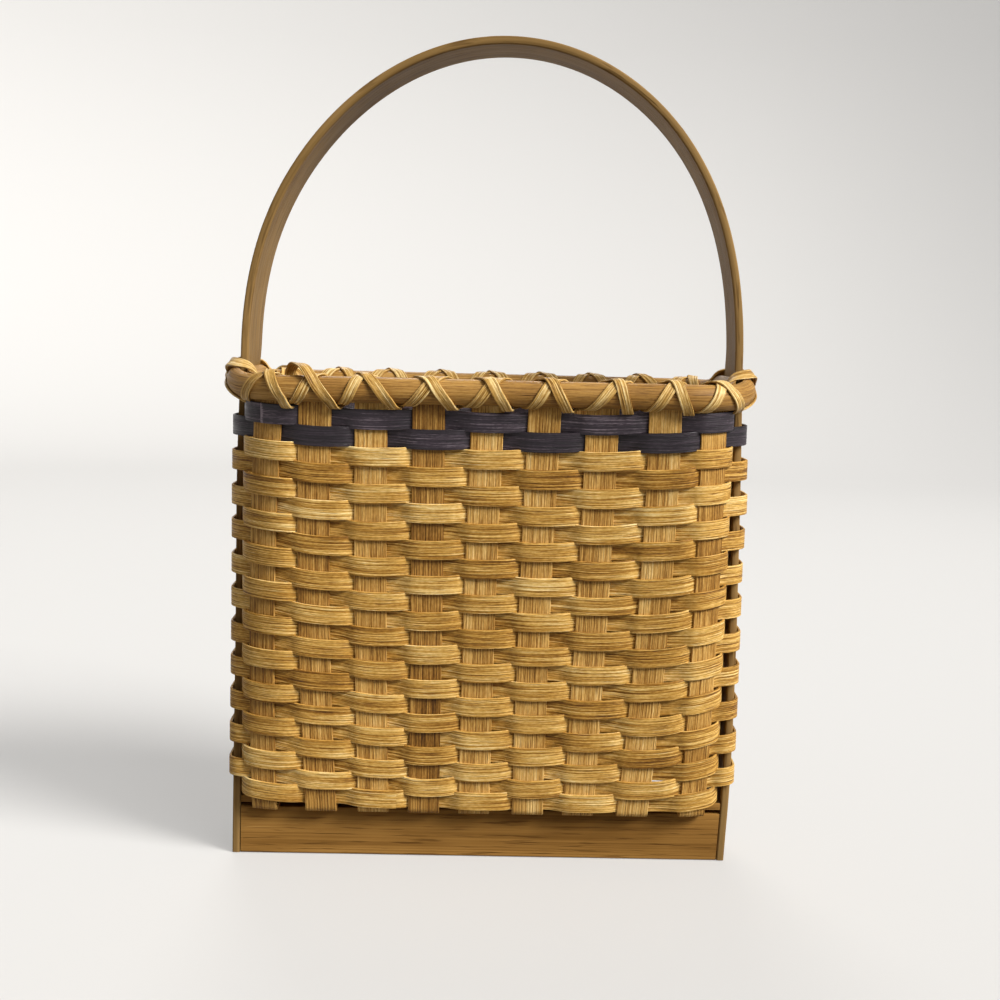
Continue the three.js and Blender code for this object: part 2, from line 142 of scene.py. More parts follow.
BACK_WAVE = 0.2  # share of it away from the front wall
WANDER = 0.15  # of a row's height round the wall
WANDER_WAVES = 3  # in one round
LAP_STAKES = 3  # stakes that the two ends of a weaver share
SEEN_LAP_STAKES = 2.6  # the same in the first and the last row, where an end shows
LAST_ROW_CUT = -2.4  # of the last row's end, from the middle of the first stake
FIRST_ROW_CUT = 12  # of the first row's end, from the middle of the third stake
LAP_TILT = 0.8  # of the lapped faces, in half thicknesses
LAP_GAP = 0.1  # between them

# The lashing: the upper strand runs over the lower one
OVER_TOPS = (0.2, -6.1, -3.8, -3.2, -2.2, 0.5, 6.1, 3.2, -2.0)  # over the rim, from each stake
UNDER_TOPS = (-1.5, 0.0, -4.5, 5.6, 5.6, 5.0, 9.0, 5.0, 0.5)
OVER_FEET = (-1.3, -2.7, -1.5, -1.4, -3.3, -2.0, -2.9, -1.9, 0.0)  # under it, from the next gap
UNDER_FEET = (0.0, 0.0, -0.8, 2.6, 4.6, 5.7, 6.2, 6.8, 3.4)  # from the gap before
BACK_TOP = 3  # where both go over the rim on the back wall, past each stake
BACK_TOP_SPREAD = 2
LASH_TO_LEG = 0.25  # share of the gap beside a leg, where a strand passes under the rim
PAST_LEG = LEG_HALF_WIDTH + 7  # where a strand goes over the rim beside a leg
LASH_FALL = 0.9  # share of the way down the inside, by which a strand has reached its next gap
LASH_SEAT = 0.12  # how far a strand stands off the rims
LASH_SPREAD = 1.15  # how much wider a strand lies once it is pulled flat
HOP_HEIGHT = 1.15  # thicknesses that the upper strand rises over the lower one
HOP_REACH = 1.15  # strand widths over which it climbs
HOP_START = 1.25  # such reaches from the lower strand, where the climb starts
KNOB_ANGLE = 55  # degrees round the rim at which a strand stands off most beside a leg
KNOB_RANGE = 55  # degrees over which that fades
KNOB_OFF = (1.8, 1.0, 2.0)  # how far it stands off there: outward in X and Y, and up
KNOB_WIDENING = 0.3  # share of its width that it is wider there
LOOP_STAKE = 1  # index of the stake beside which the upper strand has a slack loop
LOOP_PLACE = -8  # from that stake's middle
LOOP_LENGTH = 10
LOOP_HEIGHT = 5.6
LOOP_ANGLES = (115, 60)  # degrees round the rim of its top, and its range
LOOP_PULL = 8  # how far it is pulled to the left
LOOP_PULL_ANGLES = (150, 55)
FOOT_SLACK = 1.6  # of the upper strand where it goes under the rim, between the legs
FOOT_SLACK_ANGLES = (-75, 22)

# Surfaces: edge roundings, and fibre ridges as their pitch and depth
EDGE_ANGLES = (62, 34, 0)  # degrees round a rounded edge
WEAVER_EDGE = 0.35
WEAVER_RIDGES = (1.5, 0.1)
WEAVER_BACK_RIDGES = (1.7, 0.06)
STAKE_EDGE = 0.4
STAKE_RIDGES = (1.45, 0.13)
STAKE_BACK_RIDGES = (1.45, 0.08)
LASH_EDGE = 0.3
LASH_RIDGES = (1.25, 0.1)
RIM_RIDGES = (1.9, 0.1)
RIM_ROUNDNESS = 0.9  # power, below 1 for a half round that is fuller at its edges
RIM_TURN = 5  # how quickly a strand passes over the gap between the rims
RIM_FLAT_HEIGHT = 0.97  # share of the rim's height that its flat side has
SCARF_STEP = 0.1  # share of the rim's thickness that is cut away where its end laps
SCARF_LENGTH = 30
SCARF_PAST = 8.3  # from the third front stake to the end of the outer rim
INNER_SCARF = 14  # index of the warp at which the inner rim ends
HANDLE_EDGE = 0.9
HANDLE_RIDGES = (2.4, 0.035)
BOARD_EDGE = 0.8
GROOVE_EDGES = (0.5, 0.2, 0.2, 0.4)  # its lower lip, its two inner corners and its upper lip
BRAD_POINT = 2  # left off, inside the board
BRAD_DOME = ((0.5, 0.7), (0.85, 0.5), (1, 0.2), (0.97, 0))  # shares of the radius, and heights
DRIFTS = ((0.25, 61), (0.12, 23))  # of a fibre ridge: share of the pitch, and length per radian
FINE_PITCH = 0.57  # pitch of the fine ridges as a share of the coarse ones'
COARSE_SHARE = 0.6  # of the depth, and the rest is the fine ridges'
SWELL = 0.3  # how much the ridges' depth varies
SWELL_LENGTH = 37  # per radian

# Tones: shifts along the colours of a material; the cut end's and the legs' are painted light
WEAVER_TONE = 0.09
CUT_END_HIGHLIGHT = 0.7  # the cut end of the top row: a painted highlight where its cut edge catches the light
STAKE_TONE = 0.1
DARK_STAKE = "stake_front_4"
DARK_STAKE_TONE = -0.2
LASH_TONE = 0.05
LEG_PAINTED_LIGHT = 0.04  # painted light: the handle below the rim is lighter, against the shade that the weavers' loops throw on the legs
LEG_PAINTED_LIGHT_START = -20  # height from the rim's bottom, where that painted light starts to fade
LEG_PAINTED_LIGHT_RISE = 40  # height over which it fades

# Where each piece starts along the textures, so that no two look alike
WEAVER_START = 900
STAKE_START = 700
BACK_STAKES_ON = 20  # such starts
RIM_STARTS = {"rim_outer": 5000, "rim_inner": 9000}
LASH_STARTS = {"lashing_over": 12000, "lashing_under": 15000}
HANDLE_START = 20000
BOARD_START = 26000
STAKE_TO_BEND = 1  # along a stake, between its foot and its bend
STAKE_TO_WALL = 10
RIM_AROUND = 0.9  # step round the section of a rim
BRAD_AROUND = 0.4

# Mesh steps
SHARP_EDGE = 40  # degrees
NUDGE = 0.01  # for the direction of the wall
WEAVER_STEPS = 400
WEAVER_ACROSS = 17
STAKE_STEPS = 46
STAKE_ACROSS = 41
FOOT_STEPS = 4
BEND_STEPS = 7
WALL_START = 2  # over the bend of a stake
RIM_STEPS = 240
RIM_ACROSS = 23
LASH_ACROSS = 13
TURN_STEPS = 40
LEG_TURN_STEPS = 60
HANDLE_ACROSS = 27
ARCH_STEPS = 121
LEG_STEPS = 50
BOARD_STEPS = 60
BRAD_SIDES = 24

random = np.random.default_rng(23)


# Small formulas

def unit(vectors):
    return vectors / np.linalg.norm(vectors, axis=-1, keepdims=True)


def smooth(share):
    share = np.clip(share, 0, 1)
    return share * share * (3 - 2 * share)


def mixed(a, b, share):
    return a + (b - a) * share


def bell(value, middle, spread):
    return np.exp(-((value - middle) / spread) ** 2)


# The wall: a distance round it from the middle of the front, and a height

def half_depth(z):
    share = np.clip((z - FOOT_LEVEL) / (RIM_BOTTOM - FOOT_LEVEL), 0, 1)
    return (FOOT_DEPTH + (MOUTH_DEPTH - FOOT_DEPTH) * share) / 2


def plan(u, z):
    along = np.mod(u, GIRTH)
    right = along <= GIRTH / 2
    half = np.where(right, along, GIRTH - along)
    front = half <= GIRTH / 4
    quarter = np.where(front, half, GIRTH / 2 - half)
    turn = np.clip((quarter - STRAIGHT) / CORNER_GIRTH, 0, 1) * math.pi / 2
    past = np.maximum(quarter - STRAIGHT - CORNER_GIRTH, 0)
    x = np.minimum(quarter, STRAIGHT) + CORNER_RUN * np.sin(turn)
    y = LEG_HALF_WIDTH + (half_depth(z) - LEG_HALF_WIDTH) * np.cos(turn) - past
    return np.stack([np.where(right, x, -x), np.where(front, -y, y)], -1)


def wall(u, z, out):
    u, z, out = np.broadcast_arrays(*[np.asarray(a, float) for a in (u, z, out)])
    slope = unit(plan(u + NUDGE, z) - plan(u - NUDGE, z))
    place = plan(u, z)
    x = place[..., 0] + slope[..., 1] * out
    y = place[..., 1] - slope[..., 0] * out
    return np.stack([x, y, z], -1)


def from_wall_middle(u):
    return np.mod(u + GIRTH / 4, GIRTH / 2) - GIRTH / 4


# What the weavers go over and under, in order round the wall

def all_warps():
    warps = []
    for index in range(1, STAKES + 1):
        middle = (index - (STAKES + 1) / 2) * STAKE_PITCH
        warps.append({"name": f"stake_front_{index}", "index": index, "middle": middle, "leg": False})
    warps.append({"name": "right", "index": 0, "middle": GIRTH / 4, "leg": True})
    for index in range(STAKES, 0, -1):
        middle = GIRTH / 2 - (index - (STAKES + 1) / 2) * STAKE_PITCH
        warps.append({"name": f"stake_back_{index}", "index": index, "middle": middle, "leg": False})
    warps.append({"name": "left", "index": 0, "middle": GIRTH * 3 / 4, "leg": True})
    for warp in warps:
        warp["front"] = warp["name"].startswith("stake_front")
        slid = 0 if warp["leg"] else random.uniform(-BACK_SHIFT, BACK_SHIFT)
        shifts = [row[warp["index"] - 1] if warp["front"] else slid for row in STAKE_SHIFTS.values()]
        warp["lean"] = np.polyfit(list(STAKE_SHIFTS), shifts, 2)
        warp["half"] = LEG_HALF_WIDTH if warp["leg"] else STAKE_WIDTH / 2
        warp["outside_on_odd"] = warp["index"] % 2 == 1
    return warps


WARPS = all_warps()


def middle_of(warp, z):
    """Where a warp's middle is along the wall, at a height."""
    return warp["middle"] + np.polyval(warp["lean"], z)


MIDDLES = np.array([middle_of(warp, RIM_BOTTOM) for warp in WARPS])


def gap_after(i, z):
    """Where the gap between a warp and the next one starts and ends, at a height."""
    after = WARPS[(i + 1) % len(WARPS)]
    turn = GIRTH if i + 1 == len(WARPS) else 0
    return middle_of(WARPS[i], z) + WARPS[i]["half"], middle_of(after, z) - after["half"] + turn


def between(i, z, share, to_leg):
    """A place in the gap after a warp. Beside a leg it is a share of the way to the leg."""
    here, there = gap_after(i, z)
    if WARPS[i]["leg"]:
        share = 1 - to_leg
    elif WARPS[(i + 1) % len(WARPS)]["leg"]:
        share = to_leg
    return mixed(here, there, share)


def lean(side, z):
    """How far a leg stands to the right of its place in the solids."""
    heights, shifts = zip(*LEG_LEANS[side])
    return np.mean([np.interp(z + step, heights, shifts) for step in LEAN_EVENED], axis=0)


def leaned(points, z, grip):
    """Points moved with the legs, by a share that grows along the wall."""
    x = points[..., 0]
    shift = np.where(x < 0, lean("left", z), lean("right", z))
    points[..., 0] = x + shift * grip(np.abs(x))
    return points


def grip_from(start, run):
    return lambda x: smooth((x - start) / run)


# Meshes

def mesh_piece(name, points, faces, corner_uvs, tone):
    mesh = bpy.data.meshes.new(name)
    mesh.from_pydata((points * MM).tolist(), [], faces.tolist())
    layer = mesh.uv_layers.new(name="along_across")
    layer.data.foreach_set("uv", (corner_uvs * MM).astype(np.float32).ravel())
    shade = mesh.attributes.new("tone", "FLOAT", "POINT")
    shade.data.foreach_set("value", np.broadcast_to(tone, len(points)).astype(np.float32).ravel())
    mesh.shade_smooth()
    mesh.set_sharp_from_angle(angle=math.radians(SHARP_EDGE))
    piece = bpy.data.objects.new(name, mesh)
    bpy.context.scene.collection.objects.link(piece)
    return piece


def volume(points, faces):
    a, b, c, d = [points[faces[:, i]] for i in range(4)]
    return float(np.sum(a * np.cross(b, c)) + np.sum(a * np.cross(c, d)))


def tube(name, rings, along, around, loop, tone):
    """A closed skin through matching rings. An open one is capped between the halves of its ring."""
    count, size = rings.shape[:2]
    points = rings.reshape(-1, 3)
    i, j = np.meshgrid(np.arange(count if loop else count - 1), np.arange(size), indexing="ij")
    i, j = i.ravel(), j.ravel()
    i_next, j_next = (i + 1) % count, (j + 1) % size
    faces = np.stack([i * size + j, i * size + j_next, i_next * size + j_next, i_next * size + j], -1)
    here, ahead, low, high = along[i], along[i + 1], around[j], around[j + 1]
    uvs = np.stack([here, low, here, high, ahead, high, ahead, low], -1)
    if not loop:
        half = np.arange(size // 2 - 1)
        cap = np.stack([half, size - 1 - half, size - 2 - half, half + 1], -1)
        here, low, high = along[0] + 0 * half, along[0] + around[half], along[0] + around[half + 1]
        cap_uv = np.stack([here, low, here + 1, low, here + 1, high, here, high], -1)
        far_cap = cap[:, ::-1] + (count - 1) * size
        faces = np.concatenate([faces, cap, far_cap])
        uvs = np.concatenate([uvs, cap_uv, cap_uv])
    if volume(points, faces) < 0:
        faces = faces[:, ::-1]
        uvs = uvs.reshape(-1, 4, 2)[:, ::-1].reshape(-1, 8)
    return mesh_piece(name, points, faces, uvs, tone)


def flat_section(half_width, thickness, edge, count):
    """Places across a flat strip with rounded edges, and its half height at each."""
    rounding = half_width - edge + edge * np.cos(np.radians(EDGE_ANGLES))
    inner = np.linspace(-1, 1, count) * (half_width - edge)
    x = np.concatenate([-rounding[::-1], inner, rounding])
    over = np.maximum(np.abs(x) - (half_width - edge), 0)
    return x, thickness / 2 - edge + np.sqrt(np.maximum(edge * edge - over * over, 0))


def fibres(along, x, pitch, depth):
    """Lengthwise ridges of a split reed, which wander a little."""
    phase = random.uniform(0, 2 * math.pi, 6)
    s, v = along[:, None], x[None, :]
    drift = sum(share * np.sin(s / length + start) for (share, length), start in zip(DRIFTS, phase))
    coarse = np.sin(2 * math.pi * (v / pitch + drift) + phase[2])
    fine = np.sin(2 * math.pi * (v / (FINE_PITCH * pitch) - drift) + phase[3])
    swell = 1 - SWELL + SWELL * np.sin(s / SWELL_LENGTH + 2 * v + phase[4])
    return depth * swell * mixed(fine, coarse, COARSE_SHARE)


def ribbon(name, place, along, x, top, bottom, tone, start):
    """A strip with two faces at heights over its middle surface. place maps heights to points."""
    rings = np.concatenate([place(x, top), place(x[::-1], bottom[:, ::-1])], 1)
    width = x[-1] - x[0]
    around = np.concatenate([x - x[0], width + 1 + x[-1] - x[::-1], [2 * width + 2]])
    return tube(name, rings, along + start, around, False, tone)


def strip_place(centre, across, normal):
    def place(x, heights):
        sideways = across[:, None] * x[None, :, None]
        return centre[:, None] + sideways + normal[:, None] * heights[..., None]
    return place


def path_length(points):
    steps = np.linalg.norm(np.diff(points, axis=0), axis=1)
    return np.concatenate([[0], np.cumsum(steps)])


def finish(piece, look, node):
    piece.data.materials.append(look)
    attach(piece, "root")
    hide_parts(node)


# Weavers

def weave(u, level, reaches, rises):
    """How far out a weaver is, how much it rises, and how near it is to a warp's middle."""
    count = len(WARPS)
    crossings = np.array([between(i, level, CROSSING_SHARE, CROSSING_TO_LEG) for i in range(count)])
    start = crossings[-1] - GIRTH
    place = np.mod(u - start, GIRTH) + start
    i = np.minimum(np.searchsorted(crossings, place), count - 1)
    left = np.concatenate([[start], crossings[:-1]])[i]
    share = (place - left) / (crossings[i] - left)
    nearness = 1 - np.abs(2 * share - 1) ** WEAVE_FLATNESS
    return reaches[i] * nearness, wave(place, level, rises), nearness


def wave(place, level, rises):
    """The height of a weaver that runs smoothly from each warp's middle to the next."""
    middles = np.array([middle_of(warp, level) for warp in WARPS])
    middles = np.concatenate([[middles[-1] - GIRTH], middles, [middles[0] + GIRTH]])
    heights = np.concatenate([[rises[-1]], rises, [rises[0]]])
    i = np.clip(np.searchsorted(middles, place), 1, len(middles) - 1)
    share = (place - middles[i - 1]) / (middles[i] - middles[i - 1])
    return mixed(heights[i - 1], heights[i], smooth(share))


def weaver_reaches(odd, level):
    """How far a weaver stands from the wall's middle on each warp, outside or inside it."""
    slack = dict(LEG_SLACK)
    slack["right"] += LOOSE_SLACK * bell(level, LOOSE_LEVEL, LOOSE_HEIGHT)
    reaches = []
    for warp in WARPS:
        outside = warp["outside_on_odd"] == odd
        reach = REACH * random.uniform(*REACH_SPREAD)
        if warp["leg"]:
            away = lean(warp["name"], level) * (1 if warp["name"] == "right" else -1)
            reach = LEG_REACH + (max(away, -1) + slack[warp["name"]] if outside else max(-away, 0))
        reaches.append(reach if outside else -reach)
    return np.array(reaches)


def weaver_rises(row, odd):
    """How far a weaver dips on the outside of each warp, or rises on its inside."""
    height = (row - 1) / (ROWS - 1)
    sag = mixed(SAG_BOTTOM, SAG_TOP, height) if row > 1 else SAG_FIRST
    rise = mixed(RISE_BOTTOM, RISE_TOP, height)
    rises = []
    for warp in WARPS:
        outside = warp["outside_on_odd"] == odd
        share = 1 if warp["front"] else BACK_WAVE
        rises.append((-sag if outside else rise) * share * random.uniform(*WAVE_SPREAD))
    return np.array(rises)


def lap_of(row, level):
    """Where a weaver's ends lap: hidden at back stakes, but for two that the photograph shows."""
    if row == ROWS:
        return middle_of(WARPS[0], level) + LAST_ROW_CUT, SEEN_LAP_STAKES * STAKE_PITCH, True
    if row == 1:
        length = SEEN_LAP_STAKES * STAKE_PITCH
        return middle_of(WARPS[2], level) + FIRST_ROW_CUT - length, length, False
    back = range(STAKES + 1, 2 * STAKES + 1)
    hidden = [i for i in back if WARPS[i]["outside_on_odd"] == (row % 2 == 1)]
    return MIDDLES[hidden[random.integers(len(hidden) - 2)]], LAP_STAKES * STAKE_PITCH, False


def lap(u, start, length, outer_first):
    """The faces of a weaver where its two tapered ends lie on each other, in half thicknesses."""
    first = (u - start) / length
    last = (u - start - GIRTH) / length
    share = np.where(last > 0, last, first)
    split = LAP_TILT * (np.clip(share, 0, 1) - 0.5)
    split = -split if outer_first else split
    in_first, in_last = first < 1, last > 0
    outer = in_first if outer_first else in_last
    inner = in_last if outer_first else in_first
    return np.where(inner, split - LAP_GAP / 2, 1.0), np.where(outer, split + LAP_GAP / 2, -1.0)


def dip(u, level):
    """How far the rows hang down between the legs."""
    away = np.abs(from_wall_middle(u) / STAKE_PITCH - np.interp(level, ROW_LEVELS, DIP_MIDDLES))
    return np.interp(level, ROW_LEVELS, ROW_DIPS) * smooth((DIP_REACH - away) / DIP_EASE)


def ride(u, level):
    """How far the rows climb toward the legs."""
    from_middle = from_wall_middle(u)
    widths = np.where(from_middle < 0, RIDE_STARTS["left"], RIDE_STARTS["right"])
    start = CORNER_STAKE - STAKE_WIDTH * widths
    share = smooth((np.abs(from_middle) - start) / (LEG_EDGE - start))
    return np.interp(level, ROW_LEVELS, LEG_RIDES) * share


def weaver(row, look):
    odd = row % 2 == 1
    name = f"weaver_{row:02d}" + ("_dyed" if row > ROWS - DYED_ROWS else "")
    level = FIRST_ROW + (row - 0.5) * ROW_PITCH - CLEARANCE / 2
    lap_start, lap_length, outer_first = lap_of(row, level)
    u = np.linspace(lap_start, lap_start + GIRTH + lap_length, WEAVER_STEPS)
    out, rise, nearness = weave(u, level, weaver_reaches(odd, level), weaver_rises(row, odd))
    wander = WANDER * np.sin(2 * math.pi * u / GIRTH * WANDER_WAVES + random.uniform(0, 6))
    z = level + rise + ride(u, level) - dip(u, level) + wander
    centre = wall(u, z, out)
    across = unit(wall(u, z + 1, out) - wall(u, z - 1, out))
    normal = unit(np.cross(np.gradient(centre, axis=0), across))
    width = mixed(CROSSING_WIDTH, REED_WIDTH * random.uniform(*REED_SPREAD), nearness)
    x, half = flat_section(REED_WIDTH / 2, WEAVER_THICKNESS, WEAVER_EDGE, WEAVER_ACROSS)
    along = path_length(centre)
    upper, lower = lap(u, lap_start, lap_length, outer_first)
    top = half * upper[:, None] + fibres(along, x, *WEAVER_RIDGES)
    bottom = half * lower[:, None] + fibres(along, x, *WEAVER_BACK_RIDGES)
    tone = np.full((len(u), 2 * len(x)), random.uniform(-WEAVER_TONE, WEAVER_TONE))
    # painted highlight on the top row's cut end
    if row == ROWS:
        tone[:1] = CUT_END_HIGHLIGHT
    place = strip_place(centre, across * (width / REED_WIDTH)[:, None], normal)
    piece = ribbon(name + "_reed", place, along, x, top, bottom, tone.ravel(), row * WEAVER_START)
    finish(piece, look, name)


# Stakes

def stake(warp, look):
    sign = -1 if warp["front"] else 1
    x, half = flat_section(STAKE_WIDTH / 2, STAKE_THICKNESS, STAKE_EDGE, STAKE_ACROSS)
    bend_top = FOOT_LEVEL + STAKE_BEND
    foot_from = LEG_HALF_WIDTH - GROOVE_DEPTH + CLEARANCE
    turns = np.radians(np.linspace(-90, 0, BEND_STEPS))
    levels = np.linspace(bend_top + WALL_START, RIM_TOP - CLEARANCE, STAKE_STEPS)
    foot_length = float(half_depth(bend_top)) - STAKE_BEND - foot_from
    flat = np.linspace(0, foot_length, FOOT_STEPS)[:-1]
    bend = flat[-1] + STAKE_TO_BEND + STAKE_BEND * (turns + math.pi / 2)
    along = np.concatenate([flat, bend, levels - FOOT_LEVEL + STAKE_TO_WALL])

    def place(across, heights):
        base = wall(middle_of(warp, bend_top) + across, bend_top, 0)
        inward = np.abs(base[..., 1]) - STAKE_BEND
        rows = []
        for i, s in enumerate(flat):
            y = sign * np.minimum(foot_from + s, inward)
            rows.append(np.stack([base[..., 0], y, FOOT_LEVEL - heights[i]], -1))
        for i, turn in enumerate(turns, len(flat)):
            radius = STAKE_BEND + heights[i]
            y = sign * (inward + radius * math.cos(turn))
            rows.append(np.stack([base[..., 0], y, bend_top + radius * math.sin(turn)], -1))
        upper = heights[len(flat) + len(turns):]
        middles = middle_of(warp, levels)[:, None]
        return np.concatenate([np.stack(rows), wall(middles + across[None, :], levels[:, None], upper)])

    top = half + fibres(along, x, *STAKE_RIDGES)
    bottom = -half + fibres(along, x, *STAKE_BACK_RIDGES)
    tone = DARK_STAKE_TONE if warp["name"] == DARK_STAKE else random.uniform(-STAKE_TONE, STAKE_TONE)
    start = STAKE_START * (warp["index"] + (0 if warp["front"] else BACK_STAKES_ON))
    piece = ribbon(warp["name"] + "_reed", place, along, x, top, bottom, tone, start)
    finish(piece, look, warp["name"])


# Rims

def leg_share(u):
    along = np.mod(u, GIRTH / 2)
    from_middle = np.minimum(along, GIRTH / 2 - along)
    return smooth((from_middle - CORNER_STAKE_EDGE) / (LEG_EDGE - CORNER_STAKE_EDGE))


def rim_seat(u):
    return mixed(STAKE_THICKNESS, HANDLE_THICKNESS, leg_share(u)) / 2 + CLEARANCE


def rim_point(u, angle, lift):
    """A place on the rims' skin. An angle of 0 is outside, 90 on top and 180 inside."""
    cosine, sine = np.cos(np.radians(angle)), np.sin(np.radians(angle))
    thickness = np.where(cosine >= 0, RIM_OUTER_THICKNESS, RIM_INNER_THICKNESS)
    out = rim_seat(u) * np.tanh(RIM_TURN * cosine) + (thickness + lift) * cosine
    point = leaned(wall(u, RIM_MIDDLE, out), RIM_MIDDLE, grip_from(*RIM_GRIP))
    point[..., 2] = RIM_MIDDLE + RIM_LIFT * leg_share(u) + (RIM_HEIGHT / 2 + lift) * sine
    return point


def rim(name, outside, scarf, look):
    u = np.linspace(0, GIRTH, RIM_STEPS, endpoint=False)
    angles = np.radians(np.linspace(-90, 90, RIM_ACROSS))
    thickness = RIM_OUTER_THICKNESS if outside else RIM_INNER_THICKNESS
    side = 1 if outside else -1
    middle = RIM_MIDDLE + RIM_LIFT * leg_share(u)[:, None]
    seat = rim_seat(u)[:, None]
    step = 1 - SCARF_STEP * np.exp(-np.mod(scarf - u, GIRTH) / SCARF_LENGTH)
    grain = fibres(u, RIM_HEIGHT / 2 * angles, *RIM_RIDGES)
    out = seat + (thickness * step[:, None] + grain) * np.cos(angles) ** RIM_ROUNDNESS
    face = wall(u[:, None], RIM_MIDDLE, side * out)
    face[..., 2] = middle + (RIM_HEIGHT / 2) * np.sin(angles)
    inner = wall(u[:, None], RIM_MIDDLE, side * seat * np.ones_like(out))
    inner[..., 2] = mixed(middle, face[..., 2], RIM_FLAT_HEIGHT)
    rings = np.concatenate([face, inner[:, 1:-1][:, ::-1]], 1)
    rings = leaned(rings, RIM_MIDDLE, grip_from(*RIM_GRIP))
    around = np.arange(rings.shape[1] + 1) * RIM_AROUND
    piece = tube(name + "_reed", rings, np.append(u, GIRTH) + RIM_STARTS[name], around, True, 0.0)
    finish(piece, look, name)


# Lashing

def lash_foot(i, way):
    """Where a strand passes under the rim before it climbs past a warp."""
    i = i % len(WARPS)
    feet = UNDER_FEET if way > 0 else OVER_FEET
    shift = feet[i] if i < STAKES else 0
    if way < 0:
        return between(i, RIM_BOTTOM, 0.5, LASH_TO_LEG) + shift
    before = between((i - 1) % len(WARPS), RIM_BOTTOM, 0.5, LASH_TO_LEG)
    return before + shift - (0 if i else GIRTH)


def lash_turn(i, way):
    """A strand's way round the rims at one warp, up the outside and down the inside."""
    warp = WARPS[i]
    start, end = lash_foot(i, way), lash_foot(i + way, way)
    if abs(end - start) > GIRTH / 2:
        end += way * GIRTH
    if warp["leg"]:
        top = MIDDLES[i] + way * PAST_LEG
    elif warp["front"]:
        top = MIDDLES[i] + (UNDER_TOPS if way > 0 else OVER_TOPS)[warp["index"] - 1]
    else:
        top = MIDDLES[i] + way * BACK_TOP + random.uniform(-BACK_TOP_SPREAD, BACK_TOP_SPREAD)
    angle = np.linspace(-90, 270, LEG_TURN_STEPS if warp["leg"] else TURN_STEPS, endpoint=False)
    climb = np.clip((angle + 90) / 180, 0, 1)
    fall = np.clip((angle - 90) / 180 / LASH_FALL, 0, 1)
    swell = bell(angle, KNOB_ANGLE, KNOB_RANGE) if warp["leg"] else 0 * angle
    return np.where(angle < 90, mixed(start, top, climb), mixed(top, end, fall)), angle, swell


def lash_path(way):
    turns = [lash_turn(i, way) for i in range(len(WARPS))]
    turns = turns if way > 0 else turns[::-1]
    u, angle, swell = [np.concatenate(parts) for parts in zip(*turns)]
    kernel = np.array([1, 2, 3, 4, 5, 4, 3, 2, 1]) / 25
    padded = np.concatenate([[u[0]] * 4, u, [u[-1]] * 4])
    return np.convolve(padded, kernel, "valid"), angle, swell


def hop(points, below):
    """How far a strand rises where it crosses one that lies below it."""
    rise = np.zeros(len(points))
    for i, point in enumerate(points):
        nearest = np.min(np.linalg.norm(below - point, axis=1))
        rise[i] = smooth(HOP_START - nearest / (HOP_REACH * LASH_WIDTH))
    return LASH_THICKNESS * HOP_HEIGHT * rise


def lashing(name, u, angle, swell, lift, look):
    centre = rim_point(u, angle, lift)
    round_step = rim_point(u, angle + 0.5, lift) - rim_point(u, angle - 0.5, lift)
    along_step = rim_point(u + 0.5, angle, lift) - rim_point(u - 0.5, angle, lift)
    side_x, side_y = np.sign(centre[:, 0]), np.sign(centre[:, 1])
    facing = np.stack([0 * swell, side_y * swell, 0 * swell], -1)
    normal = unit(unit(np.cross(along_step, round_step)) + facing)
    off = np.stack([side_x, side_y, np.ones_like(swell)], -1) * np.array(KNOB_OFF)
    centre = centre + off * swell[:, None]
    along_dir = unit(np.gradient(centre, axis=0))
    across = unit(np.cross(normal, along_dir))
    normal = np.cross(along_dir, across)
    across = across * (LASH_SPREAD + KNOB_WIDENING * swell[:, None])
    along = path_length(centre)
    x, half = flat_section(LASH_WIDTH / 2, LASH_THICKNESS, LASH_EDGE, LASH_ACROSS)
    top = half + fibres(along, x, *LASH_RIDGES)
    bottom = -half + np.zeros_like(top)
    place = strip_place(centre, across, normal)
    piece = ribbon(name + "_reed", place, along, x, top, bottom, LASH_TONE, LASH_STARTS[name])
    finish(piece, look, name)


def both_lashings(look):
    seat = LASH_THICKNESS / 2 + LASH_SEAT
    under_u, under_angle, under_swell = lash_path(1)
    over_u, over_angle, over_swell = lash_path(-1)
    under = rim_point(under_u, under_angle, seat)
    rise = hop(rim_point(over_u, over_angle, seat), under)
    loose = bell(over_u, MIDDLES[LOOP_STAKE] + LOOP_PLACE, LOOP_LENGTH)
    slack = LOOP_HEIGHT * loose * bell(over_angle, *LOOP_ANGLES)
    foot_angle, foot_range = FOOT_SLACK_ANGLES
    from_foot = np.mod(over_angle - foot_angle + 180, 360) - 180
    between_legs = np.abs(from_wall_middle(over_u)) < CORNER_STAKE_EDGE
    slack = slack + FOOT_SLACK * between_legs * bell(from_foot, 0, foot_range)
    over_u = over_u - LOOP_PULL * loose * bell(over_angle, *LOOP_PULL_ANGLES)
    lashing("lashing_under", under_u, under_angle, under_swell, seat, look)
    lashing("lashing_over", over_u, over_angle, over_swell, seat + rise + slack, look)


# Oak and steel

